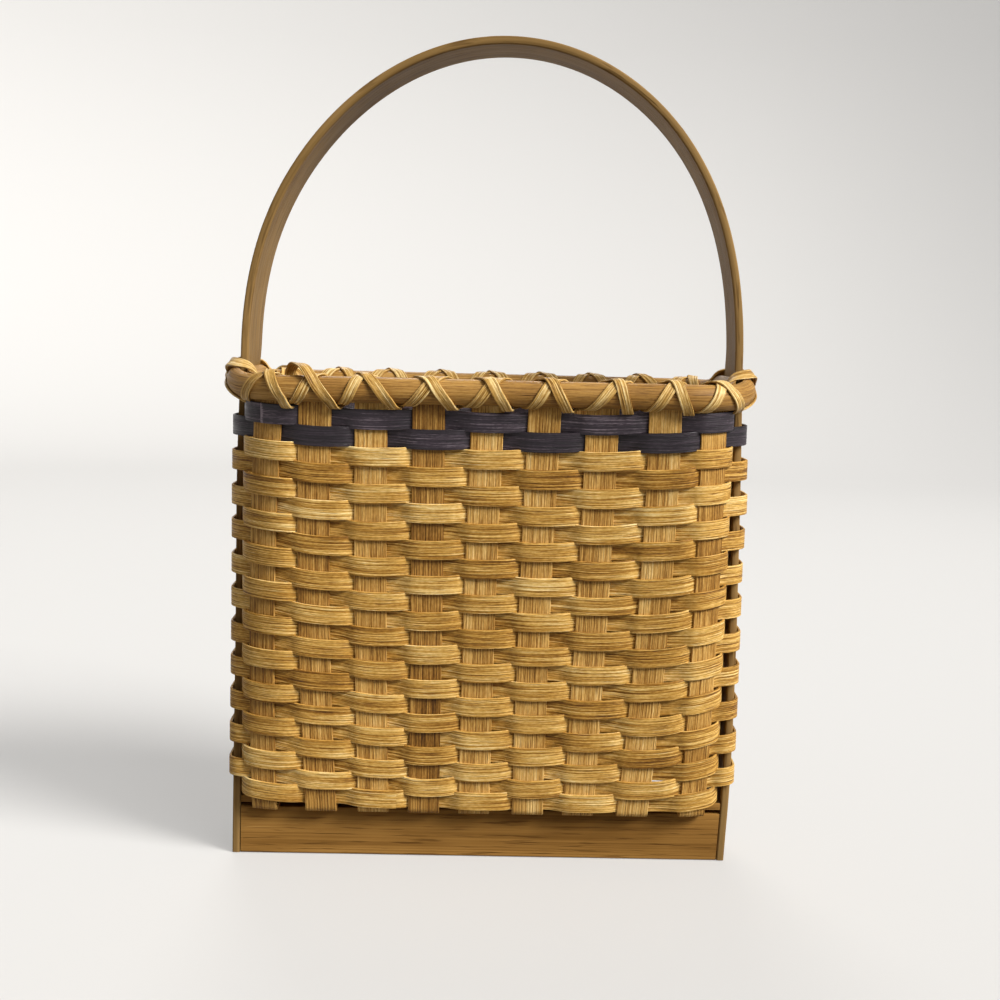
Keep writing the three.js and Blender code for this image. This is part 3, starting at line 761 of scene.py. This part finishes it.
def handle(look):
    leg = np.linspace(0, SPRING, LEG_STEPS)[:-1]
    turn = np.linspace(math.pi, 0, ARCH_STEPS)
    rise = ARCH_RISE - HANDLE_THICKNESS / 2
    arch_x, arch_z = WALL_HALF_LENGTH * np.cos(turn), SPRING + rise * np.sin(turn)
    arch = np.stack([arch_x, 0 * turn, arch_z], -1)
    left = np.stack([-WALL_HALF_LENGTH + 0 * leg, 0 * leg, leg], -1)
    right = left[::-1] * np.array([-1, 1, 1])
    centre = np.concatenate([left, arch, right])
    over_rim = centre[:, 2] - RIM_BOTTOM
    turned = HANDLE_TURN / HANDLE_WIDTH * smooth(over_rim / HANDLE_TURN_RISE)
    centre = leaned(centre, centre[:, 2], np.ones_like)
    centre[:, 0] += turned * HANDLE_WIDTH / 2
    along_dir = unit(np.gradient(centre, axis=0))
    across = unit(np.stack([turned, np.ones_like(turned), 0 * turned], -1))
    normal = unit(np.cross(across, along_dir))
    along = path_length(centre)
    x, half = flat_section(HANDLE_WIDTH / 2, HANDLE_THICKNESS, HANDLE_EDGE, HANDLE_ACROSS)
    top = half + fibres(along, x, *HANDLE_RIDGES)
    bottom = -half + fibres(along, x, *HANDLE_RIDGES)
    # painted light: the legs are lighter below the rim, where the loops shade them
    tone = LEG_PAINTED_LIGHT * (1 - smooth((over_rim - LEG_PAINTED_LIGHT_START) / LEG_PAINTED_LIGHT_RISE))
    tone = np.repeat(tone, 2 * len(x))
    place = strip_place(centre, across, normal)
    piece = ribbon("handle_oak", place, along, x, top, bottom, tone, HANDLE_START)
    finish(piece, look, "handle")


def board(look):
    half = HANDLE_WIDTH / 2
    inner = half - GROOVE_DEPTH
    groove_top = GROOVE_HEIGHT + STAKE_THICKNESS + 2 * CLEARANCE
    low_lip, low_corner, high_corner, high_lip = GROOVE_EDGES
    corners = [
        (half, 0, BOARD_EDGE),
        (half, GROOVE_HEIGHT, low_lip),
        (inner, GROOVE_HEIGHT, low_corner),
        (inner, groove_top, high_corner),
        (half, groove_top, high_lip),
        (half, BOARD_HEIGHT, BOARD_EDGE),
    ]
    corners += [(-y, z, radius) for y, z, radius in reversed(corners)]
    section = rounded_outline(corners)
    x = np.linspace(-1, 1, BOARD_STEPS) * (HANDLE_SPAN / 2 - HANDLE_THICKNESS - CLEARANCE)
    rings = np.stack([np.column_stack([np.full(len(section), place), section]) for place in x])
    rings = leaned(rings, rings[..., 2], grip_from(*BOARD_GRIP))
    around = path_length(np.vstack([section, section[:1]]))
    piece = tube("base_board_oak", rings, x + BOARD_START, around, False, 0.0)
    finish(piece, look, "base_board")


def rounded_outline(corners):
    """A closed outline whose corners are rounded."""
    points = []
    count = len(corners)
    for i, (y, z, radius) in enumerate(corners):
        here = np.array([y, z], float)
        before, after = [np.array(corners[(i + k) % count][:2], float) for k in (-1, 1)]
        to_before, to_after = unit(before - here), unit(after - here)
        for share in (0, 0.25, 0.5, 0.75, 1):
            back = here + to_before * radius * (1 - share) ** 2
            points.append(back + to_after * radius * share ** 2)
    return np.array(points)


def brad(side, place, look):
    name = f"brad_{'left' if side < 0 else 'right'}_{place}"
    shank, head = BRAD_SHANK / 2, BRAD_HEAD / 2
    profile = [(share * head, level) for share, level in BRAD_DOME]
    profile += [(shank, 0), (shank, BRAD_POINT - BRAD_LENGTH)]
    base = side * (HANDLE_SPAN / 2 + CLEARANCE)
    turns = np.linspace(0, 2 * math.pi, BRAD_SIDES, endpoint=False)
    rings = []
    for radius, level in profile:
        x = np.full(BRAD_SIDES, base + side * level)
        z = BRAD_HEIGHTS[place] + radius * np.sin(turns)
        rings.append(np.stack([x, radius * np.cos(turns), z], -1))
    rings = np.stack(rings)
    rings = leaned(rings, rings[..., 2], np.ones_like)
    along = np.arange(len(rings), dtype=float)
    around = np.arange(BRAD_SIDES + 1) * BRAD_AROUND
    piece = tube(name + "_steel", rings, along, around, False, 0.0)
    finish(piece, look, name)


# Materials

NOISE_RANGE = (0.3, 0.7)  # most of a noise lies between these


def srgb(red, green, blue):
    values = [c / 255 for c in (red, green, blue)]
    return tuple(c / 12.92 if c <= 0.04045 else ((c + 0.055) / 1.055) ** 2.4 for c in values) + (1,)


class Look:
    """A node material whose textures follow a strip: lengths along it and across it, in metres."""

    def __init__(self, name, roughness, gloss=0.2):
        self.material = bpy.data.materials.new(name)
        self.material.use_nodes = True
        self.tree = self.material.node_tree
        self.shader = self.tree.nodes["Principled BSDF"]
        self.shader.inputs["Roughness"].default_value = roughness
        self.shader.inputs["Specular IOR Level"].default_value = gloss
        self.coordinates = self.node("ShaderNodeUVMap").outputs["UV"]

    def node(self, kind, **settings):
        node = self.tree.nodes.new(kind)
        for key, value in settings.items():
            setattr(node, key, value)
        return node

    def feed(self, socket, value):
        if isinstance(value, bpy.types.NodeSocket):
            self.tree.links.new(value, socket)
        else:
            socket.default_value = value

    def shade(self, name, value):
        self.feed(self.shader.inputs[name], value)

    def math(self, operation, a, b):
        node = self.node("ShaderNodeMath", operation=operation)
        self.feed(node.inputs[0], a)
        self.feed(node.inputs[1], b)
        return node.outputs[0]

    def times(self, a, b):
        return self.math("MULTIPLY", a, b)

    def noise(self, along, across, detail=2.0, slant=0.0, warp=0.0):
        """A noise with so many cells a metre along the strip and across it."""
        mapping = self.node("ShaderNodeMapping")
        self.feed(mapping.inputs["Vector"], self.coordinates)
        mapping.inputs["Scale"].default_value = (along, across, 1)
        mapping.inputs["Rotation"].default_value = (0, 0, slant)
        noise = self.node("ShaderNodeTexNoise", noise_dimensions="2D")
        self.feed(noise.inputs["Vector"], mapping.outputs["Vector"])
        noise.inputs["Scale"].default_value = 1
        noise.inputs["Detail"].default_value = detail
        noise.inputs["Distortion"].default_value = warp
        return noise.outputs["Fac"]

    def spread(self, value, low, high, to_low=0.0, to_high=1.0):
        node = self.node("ShaderNodeMapRange")
        for key, given in zip(("Value", "From Min", "From Max", "To Min", "To Max"),
                              (value, low, high, to_low, to_high)):
            self.feed(node.inputs[key], given)
        return node.outputs["Result"]

    def around(self, noise, middle, swing):
        """A noise brought to a middle value that it swings about."""
        return self.spread(noise, *NOISE_RANGE, middle - swing, middle + swing)

    def tone(self):
        return self.node("ShaderNodeAttribute", attribute_name="tone").outputs["Fac"]

    def total(self, *values):
        result = values[0]
        for value in values[1:]:
            result = self.math("ADD", result, value)
        return result

    def ramp(self, value, stops):
        node = self.node("ShaderNodeValToRGB")
        ramp = node.color_ramp
        while len(ramp.elements) < len(stops):
            ramp.elements.new(0.5)
        for element, (place, colour) in zip(ramp.elements, stops):
            element.position = place
            element.color = colour
        self.feed(node.inputs["Fac"], value)
        return node.outputs["Color"]

    def darken(self, colour, share, shade):
        node = self.node("ShaderNodeMix", data_type="RGBA", blend_type="MULTIPLY")
        self.feed(node.inputs["Factor"], share)
        self.feed(node.inputs["A"], colour)
        self.feed(node.inputs["B"], shade)
        return node.outputs["Result"]

    def bump(self, height, distance):
        node = self.node("ShaderNodeBump")
        node.inputs["Distance"].default_value = distance
        self.feed(node.inputs["Height"], height)
        self.shade("Normal", node.outputs["Normal"])


def reed_look(name, stops, dash, roughness=0.5, depth=0.00022, gloss=0.2, contrast=1.0):
    """Split reed: sharp fibres, broader streaks, blotches of stain and short dark pores."""
    look = Look(name, roughness, gloss)
    fibre = look.noise(12, 1350, 3)
    hair = look.noise(50, 3000, 2)
    streak = look.noise(9, 380, 2)
    fleck = look.noise(420, 1500, 2)
    blotch = look.noise(17, 50, 2)
    pore = look.spread(look.noise(75, 2300, 1), 0.6, 0.72)
    value = look.total(
        look.tone(),
        look.spread(fibre, 0.32, 0.6, -0.3 * contrast, 0.14 * contrast),
        look.around(hair, 0, 0.2 * contrast),
        look.around(streak, 0, 0.09 * contrast),
        look.around(fleck, 0, 0.09 * contrast),
        look.around(blotch, 0.55, 0.13),
    )
    colour = look.ramp(value, stops)
    look.shade("Base Color", look.darken(colour, look.times(pore, 0.55), dash))
    look.shade("Roughness", look.around(streak, roughness + 0.01, 0.09))
    look.bump(look.total(fibre, look.times(hair, 0.4), look.times(pore, -0.4)), depth)
    return look.material


def oak_look(name, stops, pore_colour, slant, roughness=0.5):
    """Oiled oak: growth bands, fine grain and open pores that run in dark flecks."""
    look = Look(name, roughness, gloss=0.06)
    band = look.noise(3.5, 210, 2, slant, 0.4)
    grain = look.noise(9, 1300, 3, slant)
    fleck = look.spread(look.noise(38, 700, 2, slant), 0.59, 0.72)
    patch = look.noise(11, 45, 2)
    value = look.total(
        look.tone(),
        look.around(band, 0.5, 0.1),
        look.around(grain, 0, 0.1),
        look.around(patch, 0, 0.12),
    )
    colour = look.ramp(value, stops)
    look.shade("Base Color", look.darken(colour, look.times(fleck, 0.42), pore_colour))
    look.shade("Roughness", look.around(grain, roughness + 0.02, 0.08))
    look.bump(look.total(grain, look.times(fleck, -1.0)), 0.00012)
    return look.material


def steel_look():
    look = Look("brad_steel", roughness=0.38)
    scuff = look.noise(300, 900, 3)
    look.shade("Base Color", look.ramp(scuff, [(0.3, srgb(120, 117, 110)), (0.7, srgb(186, 182, 174))]))
    look.shader.inputs["Metallic"].default_value = 1.0
    return look.material


REED = [
    (0.0, srgb(92, 57, 16)),
    (0.3, srgb(154, 108, 40)),
    (0.55, srgb(199, 152, 71)),
    (0.8, srgb(232, 192, 112)),
    (1.0, srgb(252, 228, 166)),
]
STAKE = [
    (0.0, srgb(72, 44, 14)),
    (0.3, srgb(136, 94, 38)),
    (0.55, srgb(186, 140, 69)),
    (0.8, srgb(224, 182, 107)),
    (1.0, srgb(246, 217, 152)),
]
RIM = [
    (0.0, srgb(82, 52, 19)),
    (0.35, srgb(139, 99, 45)),
    (0.65, srgb(177, 134, 69)),
    (1.0, srgb(214, 174, 108)),
]
LASH = [
    (0.0, srgb(100, 67, 24)),
    (0.3, srgb(158, 117, 52)),
    (0.6, srgb(202, 161, 88)),
    (1.0, srgb(246, 222, 162)),
]
DYED = [
    (0.0, srgb(12, 9, 13)),
    (0.4, srgb(37, 31, 37)),
    (0.7, srgb(59, 50, 58)),
    (1.0, srgb(142, 129, 137)),
]
HANDLE = [
    (0.0, srgb(88, 58, 25)),
    (0.4, srgb(129, 101, 59)),
    (0.7, srgb(153, 122, 75)),
    (1.0, srgb(181, 148, 98)),
]
BOARD = [
    (0.0, srgb(76, 45, 15)),
    (0.4, srgb(136, 97, 46)),
    (0.7, srgb(166, 123, 63)),
    (1.0, srgb(198, 155, 90)),
]


def dress():
    weave_look = reed_look("reed_weaver", REED, srgb(120, 80, 45))
    dyed_look = reed_look("reed_dyed", DYED, srgb(110, 100, 110),
                          roughness=0.45, gloss=0.3, contrast=0.75)
    for row in range(1, ROWS + 1):
        dyed = row > ROWS - DYED_ROWS
        weaver(row, dyed_look if dyed else weave_look)
    stake_look = reed_look("reed_stake", STAKE, srgb(110, 70, 38),
                           roughness=0.52, depth=0.00018, contrast=0.7)
    for warp in WARPS:
        if not warp["leg"]:
            stake(warp, stake_look)
    rim_look = reed_look("reed_rim", RIM, srgb(110, 70, 40),
                         roughness=0.48, depth=0.00015, contrast=0.5)
    rim("rim_outer", True, MIDDLES[2] + SCARF_PAST, rim_look)
    rim("rim_inner", False, MIDDLES[INNER_SCARF], rim_look)
    both_lashings(reed_look("reed_lashing", LASH, srgb(130, 88, 48), roughness=0.46))
    handle(oak_look("oak_handle", HANDLE, srgb(120, 90, 60), slant=0.0))
    board(oak_look("oak_board", BOARD, srgb(100, 62, 34), slant=0.04))
    steel = steel_look()
    for side in (-1, 1):
        for place in BRAD_HEIGHTS:
            brad(side, place, steel)


# Studio, in metres

PAPER = (0.4, 0.397, 0.39, 1)
PAPER_BOUNCE = (0.2, 0.19, 0.18, 1)
PAPER_GLOW = 0.32
PAPER_GLOW_COLOUR = (1.0, 0.99, 0.975, 1)
FLOOR_RADIUS = 2.2
FLOOR_BEND = 1.2
FLOOR_WALL = 1.6
FLOOR_SIDES = 96
FLOOR_BEND_STEPS = 13
FLOOR_MIDDLE = 0.001  # radius of the floor's first ring
FLOOR_DROP = 0.0003  # under the board, so that the two don't share a plane
LAMPS = {  # strength and place
    "key": (4.55, (1.9, -1.2, 1.85)),
    "front": (0.5, (0.65, -1.0, 1.1)),
    "behind": (0.9, (-0.2, 1.6, 1.5)),
}
LAMP_AIM = (0, 0, 0.2)
LAMP_COLOUR = (1.0, 0.975, 0.94)
LAMP_SOFTNESS = 24  # degrees
SKY_COLOUR = (1.0, 0.985, 0.965, 1)
SKY_STRENGTH = 0.3


def studio_paper():
    """Pale where the camera or a shiny piece sees it. It throws back less light, as a table top does."""
    look = Look("studio_paper", roughness=0.9)
    path = look.node("ShaderNodeLightPath")
    seen = look.total(*[path.outputs[f"Is {kind} Ray"] for kind in ("Camera", "Glossy", "Transmission")])
    look.shade("Base Color", look.ramp(seen, [(0.0, PAPER_BOUNCE), (1.0, PAPER)]))
    look.shade("Emission Color", PAPER_GLOW_COLOUR)
    look.shade("Emission Strength", look.times(seen, PAPER_GLOW))
    return look.material


def studio_floor():
    """A pale floor that curves up into a round wall far from the object."""
    profile = [(FLOOR_MIDDLE, 0.0), (FLOOR_RADIUS, 0.0)]
    for turn in np.radians(np.linspace(0, 90, FLOOR_BEND_STEPS))[1:]:
        radius = FLOOR_RADIUS + FLOOR_BEND * math.sin(turn)
        profile.append((radius, FLOOR_BEND * (1 - math.cos(turn))))
    profile.append((FLOOR_RADIUS + FLOOR_BEND, FLOOR_WALL))
    points, faces = [], []
    for radius, level in profile:
        for k in range(FLOOR_SIDES):
            angle = 2 * math.pi * k / FLOOR_SIDES
            points.append((radius * math.cos(angle), radius * math.sin(angle), level - FLOOR_DROP))
    for i in range(len(profile) - 1):
        here, ahead = i * FLOOR_SIDES, (i + 1) * FLOOR_SIDES
        for k in range(FLOOR_SIDES):
            after = (k + 1) % FLOOR_SIDES
            faces.append((here + k, here + after, ahead + after, ahead + k))
    mesh = bpy.data.meshes.new("studio_floor")
    mesh.from_pydata(points, [], faces)
    mesh.shade_smooth()
    mesh.materials.append(studio_paper())
    floor = bpy.data.objects.new("studio_floor", mesh)
    bpy.context.scene.collection.objects.link(floor)


def lamp(name, energy, place):
    """A broad, soft lamp that is equally strong everywhere."""
    data = bpy.data.lights.new(name, "SUN")
    data.energy = energy
    data.color = LAMP_COLOUR
    data.angle = math.radians(LAMP_SOFTNESS)
    light = bpy.data.objects.new(name, data)
    light.location = place
    light.rotation_euler = (Vector(LAMP_AIM) - Vector(place)).to_track_quat("-Z", "Y").to_euler()
    bpy.context.scene.collection.objects.link(light)


def studio_light():
    for name, (energy, place) in LAMPS.items():
        lamp(name, energy, place)
    world = bpy.data.worlds.new("studio")
    world.use_nodes = True
    background = world.node_tree.nodes["Background"]
    background.inputs["Color"].default_value = SKY_COLOUR
    background.inputs["Strength"].default_value = SKY_STRENGTH
    bpy.context.scene.world = world


# The camera of the photograph: place in millimetres, angles in degrees, focal length in pixels

CAMERA_PLACE = (-8.76, -771.1, 271.7)
CAMERA_YAW = -1.17
CAMERA_PITCH = 6.42
CAMERA_ROLL = 1.4
CAMERA_FOCUS = 1492
PICTURE = 1000
SENSOR = 36
NEAREST = 0.01


def camera():
    yaw, pitch, roll = [math.radians(a) for a in (CAMERA_YAW, CAMERA_PITCH, CAMERA_ROLL)]
    flat = math.cos(pitch)
    ahead = Vector((-math.sin(yaw) * flat, math.cos(yaw) * flat, -math.sin(pitch)))
    level = ahead.cross(Vector((0, 0, 1))).normalized()
    plumb = level.cross(ahead)
    right = level * math.cos(roll) + plumb * math.sin(roll)
    up = plumb * math.cos(roll) - level * math.sin(roll)
    data = bpy.data.cameras.new("camera")
    data.sensor_width = SENSOR
    data.lens = CAMERA_FOCUS / PICTURE * SENSOR
    data.clip_start = NEAREST
    eye = bpy.data.objects.new("camera", data)
    turn = Matrix((right, up, -ahead)).transposed().to_4x4()
    eye.matrix_world = Matrix.Translation(Vector(CAMERA_PLACE) * MM) @ turn
    bpy.context.scene.collection.objects.link(eye)
    bpy.context.scene.camera = eye


camera()
dress()
studio_floor()
studio_light()
bpy.context.scene.view_settings.view_transform = "Standard"
